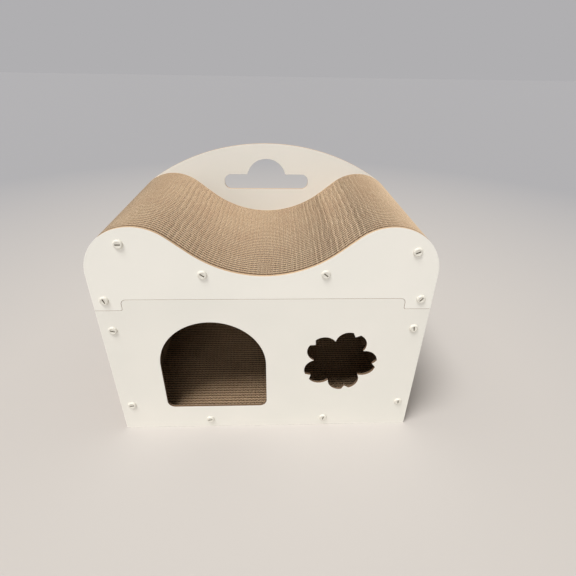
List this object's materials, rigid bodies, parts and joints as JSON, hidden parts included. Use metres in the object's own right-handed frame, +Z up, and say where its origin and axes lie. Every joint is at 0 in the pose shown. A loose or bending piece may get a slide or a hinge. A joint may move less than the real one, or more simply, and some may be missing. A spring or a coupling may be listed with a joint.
{
  "type": "cat scratching board",
  "caption": "Cat scratching lounge: a wave-shaped corrugated cardboard seat between boards with an arched back, standing on a cat house with an arched door and a blossom window.",
  "frame": {"origin": "on the floor, in the middle of the footprint", "axes": "+Z up, +X to the right seen from the front, -Y towards the front with the door"},
  "size_m": [0.55, 0.317, 0.48],
  "materials": {
    "corrugated_cardboard": "raw kraft, open flute ends",
    "painted_board": "smooth warm white face, raw tan edges",
    "screw_plastic": "satin moulded white"
  },
  "bodies": {
    "house": {"floor_core": "corrugated_cardboard", "left_wall_core": "corrugated_cardboard", "right_wall_core": "corrugated_cardboard", "house_front_panel": "painted_board", "house_back_panel": "painted_board", "screw_front_wall_high_left": "screw_plastic", "screw_front_wall_high_right": "screw_plastic", "screw_front_wall_low_left": "screw_plastic", "screw_front_wall_low_right": "screw_plastic", "screw_front_floor_left": "screw_plastic", "screw_front_floor_right": "screw_plastic", "screw_back_wall_high_left": "screw_plastic", "screw_back_wall_high_right": "screw_plastic", "screw_back_wall_low_left": "screw_plastic", "screw_back_wall_low_right": "screw_plastic", "screw_back_floor_left": "screw_plastic", "screw_back_floor_right": "screw_plastic"},
    "bed": {"saddle_core": "corrugated_cardboard", "bed_front_panel": "painted_board", "bed_back_panel": "painted_board", "screw_front_lobe_left": "screw_plastic", "screw_front_lobe_right": "screw_plastic", "screw_front_valley_left": "screw_plastic", "screw_front_valley_right": "screw_plastic", "screw_front_ear_left": "screw_plastic", "screw_front_ear_right": "screw_plastic", "screw_back_lobe_left": "screw_plastic", "screw_back_lobe_right": "screw_plastic", "screw_back_valley_left": "screw_plastic", "screw_back_valley_right": "screw_plastic", "screw_back_ear_left": "screw_plastic", "screw_back_ear_right": "screw_plastic"}
  },
  "joints": [
    {"name": "bed_lift", "type": "slide", "parent": "house", "child": "bed", "axis": [0, 0, 1], "range_m": [0, 0.1]}
  ]
}
